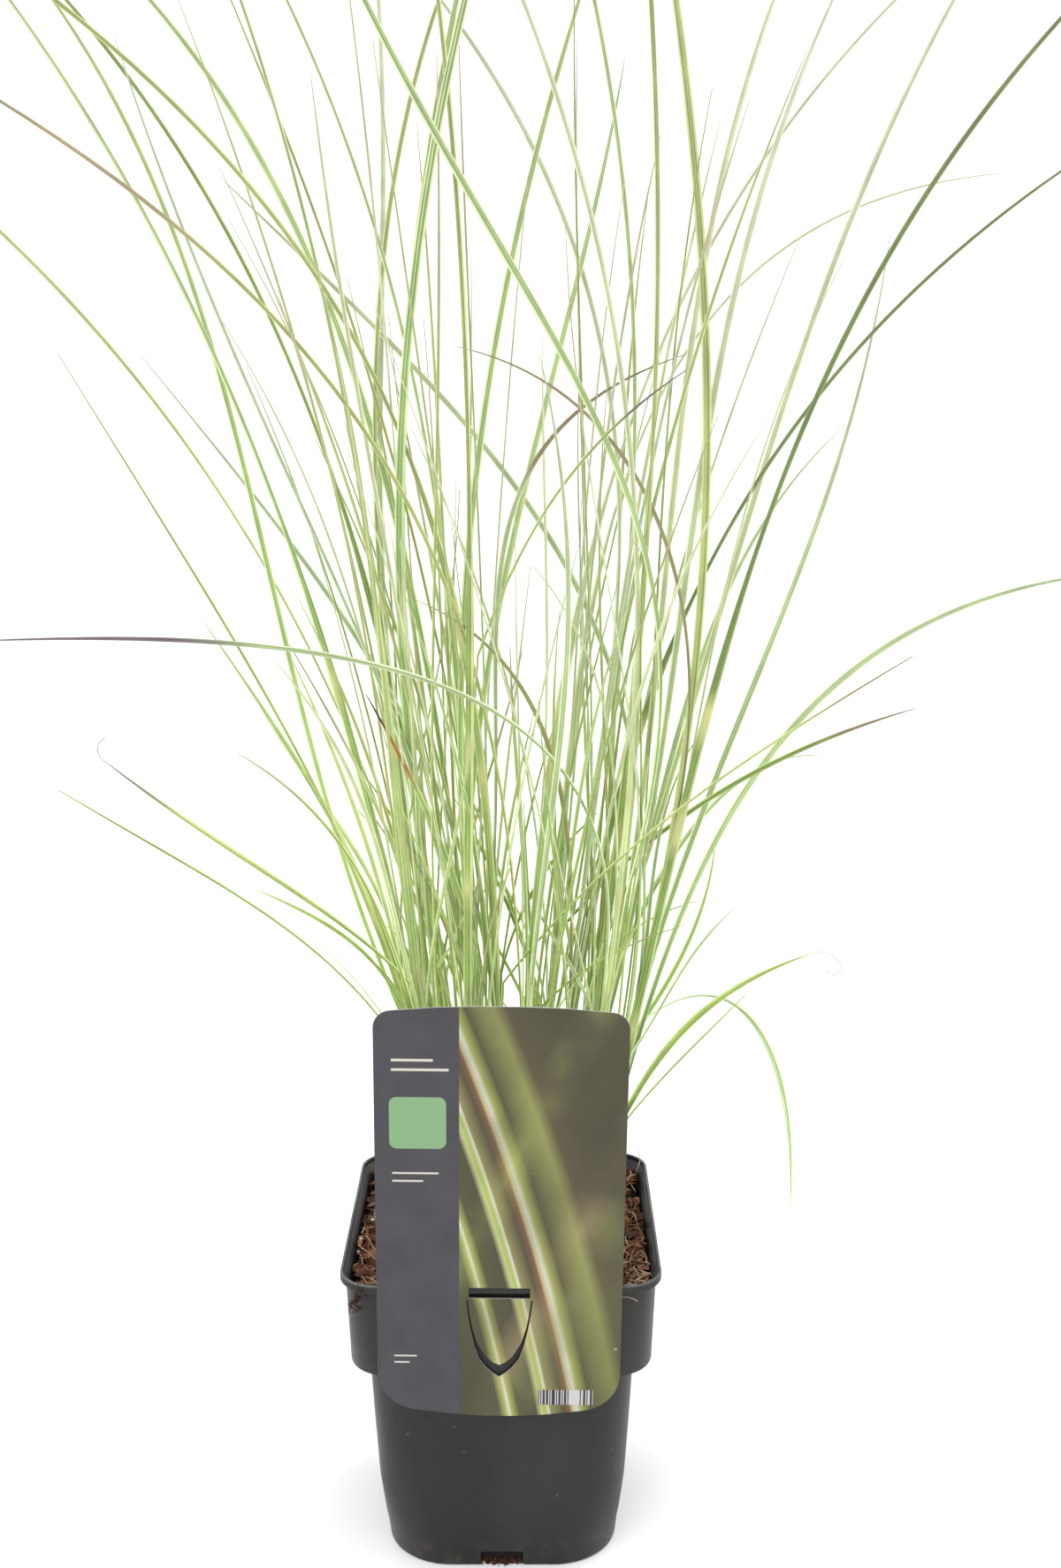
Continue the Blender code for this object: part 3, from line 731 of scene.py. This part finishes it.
grassForm = {
    "sheathTop": 0.42, "flattening": 0.12, "stemTaper": 0.25, "leafShoulder": 0.4, "footShare": 0.7,
    "tallTip": 560, "tallTaper": 5.0, "lowTaper": 2.2, "tipWidth": 0.3, "depthPower": 1.5,
    "plainTwist": 56, "extraTwist": 16, "pastFlat": 25, "stemTwist": 50,
    "leafWider": 0.2, "stemWider": -1.4, "stemShare": 0.94, "stemKeel": 0.8,
    "jointSwell": 0.1, "jointReach": 0.6,
    # blade paints by height: brighter low down as painted light, darker and greyer high up, partly painted
    # shade
    "highCoreShadeAndGrey": (0.9, 0.68, 1.4), "highMarginShadeAndGrey": (0.98, 0.9, 1.14), "lowCoreFillLight": 1.05, "lowMarginFillLight": 1.5,
    "bladeThickness": 0.34, "keel": 0.8, "keelTaper": 0.65, "sides": 8, "stemRows": 64, "leafRows": 46,
    "rootDepth": 8.0, "gap": 0.3, "sheathRows": 6, "sheathLength": 16.0, "sheathInward": 0.9,
    "footSteps": 60, "trialSteps": 11,
}

# Core and margin tints of each kind of blade
bladeKinds = {
    "fresh": (paint(124, 170, 76), paint(210, 228, 160)),
    "olive": (paint(128, 156, 72), paint(200, 214, 136)),
    "mint": (paint(144, 178, 110), paint(216, 230, 182)),
    "pale": (paint(172, 198, 124), paint(224, 234, 180)),
    "dark": (paint(98, 134, 54), paint(176, 198, 114)),
    "grey": (paint(146, 178, 112), paint(206, 222, 174)),
    "bronze": (ink(176, 184, 104), ink(214, 216, 160)),
    "moss": (ink(124, 162, 64), ink(170, 190, 122)),
}
jointPaint = paint(206, 204, 140)
tipPaints = {
    "purple": ink(132, 112, 122), "tan": ink(200, 180, 142), "brown": ink(170, 148, 112),
    "ember": ink(228, 140, 56), "black": ink(44, 36, 32), "straw": ink(220, 208, 164),
}

Stem = namedtuple("Stem", "x y lean tipX tipY tipZ tipLean fullness radius width kind")
stems = [
    Stem(-20, -4, -6, -164, -30, 498, -29, 1.2, 1.8, 3, "olive"),
    Stem(-19, 8, -9, -234, 30, 687, -42, 1.05, 2, 3.6, "fresh"),
    Stem(-18, -14, -9, -132, -25, 719, -26, 1.1, 1.8, 3.2, "fresh"),
    Stem(-15, 18, -5, -229, 68, 690, -50, 1.1, 1.8, 3.2, "dark"),
    Stem(-9, 0, 4, -142, -10, 613, -16, 1.2, 1.8, 3, "mint"),
    Stem(-12, -20, -2, -39, -75, 737, -12, 1.1, 2.1, 3.8, "olive"),
    Stem(-5, 10, -4, -126, 50, 707, -34, 1.1, 1.8, 3.2, "fresh"),
    Stem(-1, -6, 0, -239, -60, 672, -62, 1.35, 1.9, 3.4, "olive"),
    Stem(6, -16, 2, 216, 105, 688, 52, 1.2, 2, 3, "pale"),
    Stem(14, 12, 5, 224, 130, 578, 84, 1.3, 1.8, 3, "pale"),
    Stem(19, -2, 4, 256, 35, 590, 60, 1.2, 1.8, 3.2, "moss"),
    Stem(26, -12, 9, -13, -40, 667, -28, 1.1, 2.1, 3.8, "pale"),
    Stem(28, 6, 6, 39, -70, 731, -10, 1.1, 1.9, 3.4, "olive"),
    Stem(32, -6, 14, 240, -50, 654, 49, 1.1, 2, 3.6, "moss"),
]

# Steps from the tip of a leaf along its dry hook
hooks = {3: [(-2, 0, 1.5), (-3, 0, 4), (-2.5, 0, 7), (0, 0, 9)],
         23: [(4, 0, 1), (8, 0, 0), (11, -1, -3), (12, -1, -6), (9, -1, -8), (6, -1, -6)]}

Leaf = namedtuple("Leaf", "stem foot lean tipX tipY tipZ tipLean fullness width kind tips", defaults=((),))
leaves = [
    Leaf(12, 262, 3, -186, -92, 399, -90, 1.35, 3, "mint", (("purple", 0.8),)),
    Leaf(1, 205, -28, -165, -60, 338, -50, 1.15, 3.4, "dark"),
    Leaf(5, 205, -28, -141, -85, 354, -40, 1.1, 3.0, "olive", (("purple", 0.86),)),
    Leaf(4, 215, -11, -252, 75, 584, -53, 1.05, 3, "olive", (("tan", 0.93),)),
    Leaf(9, 215, -1, -206, -110, 603, -63, 1.3, 1.5, "olive", (("tan", 0.8), ("purple", 0.95))),
    Leaf(7, 230, -6, -206, 150, 699, -51, 1.1, 3, "fresh"),
    Leaf(6, 240, -6, -64, -60, 592, -5, 1.1, 2.2, "pale"),
    Leaf(14, 250, 4, -126, 118, 576, -47, 1.3, 2.4, "grey"),
    Leaf(8, 232, -5, -158, 92, 498, -42, 1.1, 2.2, "grey"),
    Leaf(1, 215, -24, -216, 80, 679, -44, 1.1, 2.4, "fresh"),
    Leaf(8, 220, -7, -52, -28, 369, -27, 1.1, 2.6, "fresh", (("ember", 0.8), ("black", 0.93))),
    Leaf(3, 225, -14, -100, -45, 349, -55, 1.1, 2.2, "olive", (("straw", 0.85),)),
    Leaf(2, 215, -13, -126, 40, 388, -36, 1.1, 2.2, "fresh"),
    Leaf(1, 228, -10, -99, 95, 370, -33, 1.1, 2.2, "pale"),
    Leaf(4, 194, -8, 15, -103, 684, 22, 1.1, 3.4, "fresh"),
    Leaf(4, 235, -8, 8, -55, 698, 18, 1.1, 2.8, "fresh"),
    Leaf(4, 250, -14, -62, 159, 719, -8, 1.15, 2.8, "mint"),
    Leaf(2, 245, -4, -6, 125, 699, 25, 1.1, 2.8, "olive"),
    Leaf(14, 185, 13, 257, -22, 417, 88, 1.3, 3.0, "grey"),
    Leaf(8, 245, 36, 145, -100, 395, 50, 1.1, 2.6, "olive", (("brown", 0.88),)),
    Leaf(10, 258, 38, 153, -70, 371, 63, 1.05, 2.6, "dark", (("brown", 0.85),)),
    Leaf(13, 215, 13, 140, 60, 326, 103, 1.05, 2.2, "mint"),
    Leaf(14, 170, 21, 116, -80, 280, 55, 1.1, 3.2, "dark", (("tan", 0.93),)),
    Leaf(13, 200, 33, 117, -45, 160, 184, 2.8, 4.2, "grey"),
    Leaf(12, 160, 30, 99, -25, 245, 40, 1.1, 2.4, "dark"),
    Leaf(13, 188, 34, 96, 75, 287, 8, 1.1, 2.2, "fresh"),
    Leaf(13, 235, 18, 238, 140, 715, 36, 1.1, 2.6, "pale"),
    Leaf(12, 240, 11, 137, 75, 697, 28, 1.1, 2.6, "pale"),
    Leaf(12, 230, 14, 139, 42, 651, 27, 1.1, 2.8, "mint"),
    Leaf(14, 225, 13, 48, 30, 737, -12, 1.1, 3.4, "olive"),
    Leaf(11, 245, 10, 14, 95, 730, -18, 1.1, 3, "fresh"),
    Leaf(10, 262, 15, -56, 155, 686, -42, 1.2, 2.6, "mint"),
    Leaf(12, 285, 15, -68, -115, 666, -22, 1.35, 3.2, "fresh"),
    Leaf(14, 200, 10, 160, 55, 546, 8, 1.1, 2.8, "mint"),
    Leaf(13, 225, 19, 154, 110, 468, 52, 1.1, 2.2, "grey"),
    Leaf(6, 385, 20, 67, -65, 492, 56, 1.1, 2.6, "olive", (("purple", 0.84),)),
    Leaf(14, 320, 10, -17, 12, 501, -78, 1.2, 1.6, "bronze", (("tan", 0.7),)),
    Leaf(8, 300, 3, 73, 12, 498, 72, 1.4, 2.2, "grey", (("brown", 0.7),)),
    Leaf(6, 260, -2, 54, 135, 628, 10, 1.1, 2.6, "fresh"),
    Leaf(9, 227, 4, 15, -84, 498, -14, 1.1, 2.6, "mint"),
    Leaf(11, 228, 2, -32, -37, 407, -66, 1.1, 2.2, "bronze"),
    Leaf(10, 240, -2, -43, 110, 469, -28, 1.1, 2.2, "mint"),
    Leaf(6, 275, -4, 51, 165, 707, 18, 1.1, 2.8, "fresh"),
]


def arch(foot, lean, tip, tipLean, fullness, steps):
    reach = fullness * math.hypot(tip.x - foot.x, tip.z - foot.z)
    start = Vector((math.sin(math.radians(lean)), 0, math.cos(math.radians(lean)))) * reach
    end = Vector((math.sin(math.radians(tipLean)), 0, math.cos(math.radians(tipLean)))) * reach
    points = []
    for step in range(steps + 1):
        t = step / steps
        point = (foot * (2 * t ** 3 - 3 * t ** 2 + 1) + start * (t ** 3 - 2 * t ** 2 + t)
                 + tip * (3 * t ** 2 - 2 * t ** 3) + end * (t ** 3 - t ** 2))
        point.y = foot.y + (tip.y - foot.y) * t ** grassForm["depthPower"]
        points.append(point)
    return points


def tipOf(blade):
    return Vector((blade.tipX, blade.tipY, blade.tipZ)) * mm


def heading(points, i):
    return (points[min(i + 1, len(points) - 1)] - points[max(i - 1, 0)]).normalized()


def bladeAxes(along, turn):  # across and outward, turned about the blade's length
    across = along.cross(Vector((0, -1, 0))).normalized()
    outward = across.cross(along)
    return (across * math.cos(turn) + outward * math.sin(turn),
            outward * math.cos(turn) - across * math.sin(turn))


def bladeWidth(blade, t, wider):  # a blade that ends high keeps its width for longer
    f = grassForm
    width = blade.width + wider
    if t < f["leafShoulder"]:
        return width * (f["footShare"] + (1 - f["footShare"]) * t / f["leafShoulder"])
    taper = (t - f["leafShoulder"]) / (1 - f["leafShoulder"])
    power = f["tallTaper"] if blade.tipZ > f["tallTip"] else f["lowTaper"]
    return f["tipWidth"] + (width - f["tipWidth"]) * (1 - taper ** power)


def stemPath(stem, steps):
    foot = Vector((stem.x * mm, stem.y * mm, 0))
    foot.z = compostHeight(foot.x, foot.y) - grassForm["rootDepth"] * mm
    return arch(foot, stem.lean, tipOf(stem), stem.tipLean, stem.fullness, steps)


def growBlade(path, section, tints, seed):
    # a unit tube, cut into rows, whose rings are then laid along the path
    bm = bmesh.new()
    rows = len(path) - 1
    bmesh.ops.create_cone(bm, cap_ends=True, segments=grassForm["sides"], radius1=1, radius2=1, depth=rows,
                          matrix=Matrix.Translation((0, 0, rows / 2)))
    upright = [edge for edge in bm.edges if abs(edge.verts[0].co.z - edge.verts[1].co.z) > 0.5]
    bmesh.ops.subdivide_edges(bm, edges=upright, cuts=rows - 1)
    layers = {name: bm.verts.layers.float.new(name) for name in ("across", "along", "seed")}
    layers.update({name: bm.verts.layers.float_color.new(name) for name in ("core", "margin")})
    length = sum((b - a).length for a, b in zip(path, path[1:]))
    rings = [section(i) for i in range(rows + 1)]
    for vert in bm.verts:
        i = round(vert.co.z)
        side, up = vert.co.x, vert.co.y
        across, outward, half, thick, keel = rings[i]
        vert.co = path[i] + across * side * half + outward * (up * thick + keel * (1 - abs(side)))
        vert[layers["across"]] = (side + 1) / 2
        vert[layers["along"]] = i / rows * length
        vert[layers["seed"]] = seed
        core, margin = tints(i / rows, path[i].z / mm)
        vert[layers["core"]] = core
        vert[layers["margin"]] = margin
    return bm


def bladeTints(kind, tips=(), shift=0.0, yellow=0.0):
    f = grassForm
    core, margin = bladeKinds[kind]
    core, margin = blendTints(core, margin, shift), blendTints(margin, core, shift * 0.4)

    def tints(t, height):
        low, high = blendTints(core, paint(196, 200, 96), yellow * t), margin
        foot = 1 - ease(t, 0.0, 0.06)
        low = blendTints(low, paint(196, 206, 140), foot * 0.5)
        near, far = 1 - ease(height, 140, 420), ease(height, 160, 680)  # brighter low down as painted light against the clump's own shade; darker and greyer high up, the darkening being painted shade on the fully lit upper blades
        low = [a * (1 + (f["lowCoreFillLight"] - 1) * near) * (1 + (b - 1) * far)
               for a, b in zip(low, f["highCoreShadeAndGrey"])]
        high = [a * (1 + (f["lowMarginFillLight"] - 1) * near) * (1 + (b - 1) * far)
                for a, b in zip(high, f["highMarginShadeAndGrey"])]
        low, high = (*low, 1.0), (*high, 1.0)
        for name, begin in tips:
            share = ease(t, begin - 0.06, begin + 0.03)
            low = blendTints(low, tipPaints[name], share)
            high = blendTints(high, tipPaints[name], share * 0.75)
        return low, high
    return tints


def leafFoot(leaf):
    # the place on the stem, the level way that the leaf leaves, and the way down the stem
    f = grassForm
    stem = stems[leaf.stem - 1]
    points = stemPath(stem, f["footSteps"])
    above = next(i for i, point in enumerate(points) if point.z >= leaf.foot * mm)
    low, high = points[above - 1], points[above]
    middle = low.lerp(high, (leaf.foot * mm - low.z) / (high.z - low.z))
    trial = arch(middle, leaf.lean, tipOf(leaf), leaf.tipLean, leaf.fullness, f["trialSteps"])[2]
    beside = next(point for point in points if point.z >= min(trial.z, points[-1].z))
    away = Vector((trial.x - beside.x, trial.y - beside.y, 0)).normalized()
    return middle + away * (stem.radius + f["gap"]) * mm, away, (low - high).normalized()


def growLeaf(leaf, number, yellow=0.0, shift=0.0, hook=()):
    f = grassForm
    foot, away, down = leafFoot(leaf)
    rows, sheath = f["leafRows"], f["sheathRows"]
    blade = arch(foot, leaf.lean, tipOf(leaf), leaf.tipLean, leaf.fullness, rows)
    hug = []
    for i in range(sheath):
        inward = away * f["sheathInward"] * mm * ease(sheath - i, 0, sheath)
        hug.append(foot - inward + down * f["sheathLength"] * mm * (sheath - i) / sheath)
    path = hug + blade + [blade[-1] + Vector(step) * mm for step in hook]
    level, outward = bladeAxes(heading(blade, 0), 0)
    turned = math.atan2(-away.dot(level), away.dot(outward))
    # the turn that shows the blade's width from the front
    toFlat = math.pi * round(turned / math.pi) - turned
    twist = math.radians(f["plainTwist"] + f["extraTwist"] * math.sin(2.4 * number))
    twist = math.copysign(min(twist, abs(toFlat) + math.radians(f["pastFlat"])), toFlat)

    def section(i):
        t = min(1, max(0, i - sheath) / rows)
        across, outward = bladeAxes(heading(path, i), turned + twist * t)
        keel = f["keel"] * (1 - f["keelTaper"] * t) * mm
        half = bladeWidth(leaf, t, f["leafWider"]) / 2 * mm
        return across, outward, half, f["bladeThickness"] * (1 - 0.5 * t) * mm / 2, keel
    return growBlade(path, section, bladeTints(leaf.kind, leaf.tips, shift, yellow), number * 3.7)


def growStem(stem, number):
    f = grassForm
    rows = f["stemRows"]
    path = stemPath(stem, rows)
    twist = math.radians(f["stemTwist"] * math.sin(2.4 * number))
    joints = [0.1 + 0.035 * (number % 4), 0.24 + 0.02 * (number % 5), 0.36 + 0.02 * (number % 3)]

    def atJoint(t):
        return any(abs(joint - t) < f["jointReach"] / rows for joint in joints)

    def section(i):
        t = i / rows
        across, outward = bladeAxes(heading(path, i), twist * t)
        flat = ease(t, f["sheathTop"], f["sheathTop"] + f["flattening"])
        blade = max(0, (t - f["sheathTop"]) / (1 - f["sheathTop"]))
        radius = stem.radius * f["stemShare"] * (1 - f["stemTaper"] * t)
        radius *= 1 + f["jointSwell"] * atJoint(t)
        half = radius + (bladeWidth(stem, blade, f["stemWider"]) / 2 - radius) * flat
        thick = radius + (f["bladeThickness"] / 2 * (1 - 0.5 * blade) - radius) * flat
        keel = f["keel"] * f["stemKeel"] * flat * (1 - f["keelTaper"] * blade)
        return across, outward, half * mm, thick * mm, keel * mm

    plain = bladeTints(stem.kind)

    def tints(t, height):
        core, margin = plain(t, height)
        lower = 1 - ease(t, f["sheathTop"] - 0.25, f["sheathTop"] + 0.1)
        core = blendTints(core, paint(138, 174, 74), 0.55 * lower)
        margin = blendTints(margin, paint(204, 218, 156), 0.7 * lower)
        if atJoint(t):
            core, margin = blendTints(core, jointPaint, 0.7), blendTints(margin, jointPaint, 0.7)
        return core, margin
    return growBlade(path, section, tints, number * 5.3 + 100)


def makeBladeMaterial(name, gloss):
    material, tree, shader = startMaterial(name, gloss, 0.4)
    traits = {name.title(): trait(tree, name).outputs["Fac"] for name in ("across", "along", "seed")}
    traits.update({name.title(): trait(tree, name).outputs["Color"] for name in ("core", "margin")})
    given = useGroup(tree, stripeGroup, {**traits, "Where": place(tree)})
    tree.links.new(given["Colour"], shader["Base Color"])
    rough = remap(tree, cloudy(tree, place(tree), 140.0), 0.3, 0.7, gloss - 0.08, gloss + 0.1)
    tree.links.new(rough, shader["Roughness"])
    addBump(tree, shader, given["Height"], 0.00006, 0.5)
    return material


stemPaint = makeBladeMaterial("stemGreen", 0.46)
leafPaint = makeBladeMaterial("leafGreen", 0.42)
for number, stem in enumerate(stems, 1):
    makePiece(f"culm{number:02d}", growStem(stem, number), stemPaint, [f"culm_{number:02d}"], 60)
for number, leaf in enumerate(leaves, 1):
    blade = growLeaf(leaf, number, yellow=0.15 * (number % 3), hook=hooks.get(number, ()))
    makePiece(f"leaf{number:02d}", blade, leafPaint, [f"leaf_{number:02d}"], 60)
print("stems and leaves grown")


# Fine leaves: a few listed, the rest strewn between the stems

fineForm = {
    "seed": 5, "shortPerStem": 4, "longPerStem": 4, "foot": (132, 250), "width": (0.9, 1.9),
    "shortTip": (215, 420), "longTip": (400, 640), "outward": 0.45, "side": (42, 32), "depth": (45, 70),
    "boxLow": (-235, -100, 0), "boxHigh": (238, 140, 725), "leastRise": 60, "longNarrower": 0.8,
    "riseFrom": 120, "riseOver": 600,
}
fineLeaves = [
    Leaf(1, 235, -22, -92, -60, 299, -50, 1.1, 2, "fresh"),
    Leaf(2, 250, -14, -105, 50, 350, -34, 1.1, 2, "pale"),
    Leaf(14, 215, 30, 91, -60, 293, 34, 1.1, 1.6, "grey"),
    Leaf(9, 330, 2, 17, 60, 506, 0, 1.1, 1.6, "pale"),
    Leaf(12, 300, -2, 13, -30, 419, -40, 1.1, 1.8, "pale"),
    Leaf(6, 232, 10, 5, -38, 304, 22, 1.1, 2.4, "bronze"),
]


def randomLeaf(chance, number, isLong):
    f = fineForm
    stem = stems[number - 1]
    foot = chance.uniform(*f["foot"])
    tipZ = chance.uniform(*f["longTip" if isLong else "shortTip"])
    tipZ = max(tipZ, foot + f["leastRise"])
    rise = (tipZ - f["riseFrom"]) / f["riseOver"]
    astray = chance.gauss(0, f["side"][isLong])
    tipX = stem.x + (stem.tipX - stem.x) * f["outward"] * rise ** 1.5 + astray
    tipY = stem.y + chance.gauss(0, f["depth"][isLong])
    low, high = f["boxLow"], f["boxHigh"]
    tipX, tipY, tipZ = (min(max(v, a), b) for v, a, b in zip((tipX, tipY, tipZ), low, high))
    slope = math.degrees(math.atan2(tipX - stem.x, tipZ - foot))
    return Leaf(number, foot, slope * 0.4 + stem.lean * 0.6, tipX, tipY, tipZ, slope * 1.6, 1.1,
                chance.uniform(*f["width"]) * (f["longNarrower"] if isLong else 1),
                chance.choice(["fresh", "mint", "pale", "pale", "olive", "fresh", "olive", "dark"]),
                (("straw", 0.85),) if chance.random() < 0.25 else ())


def makeFineLeaves():
    f = fineForm
    chance = random.Random(f["seed"])
    for number in range(1, len(stems) + 1):
        own = [leaf for leaf in fineLeaves if leaf.stem == number]
        own += [randomLeaf(chance, number, False) for _ in range(f["shortPerStem"])]
        own += [randomLeaf(chance, number, True) for _ in range(f["longPerStem"])]
        grown = joinParts(growLeaf(leaf, number * 20 + count, chance.random() * 0.4, chance.random() * 0.4)
                          for count, leaf in enumerate(own))
        makePiece(f"fineLeaves{number:02d}", grown, leafPaint, sharpAngle=60)


makeFineLeaves()
print("fine leaves grown")
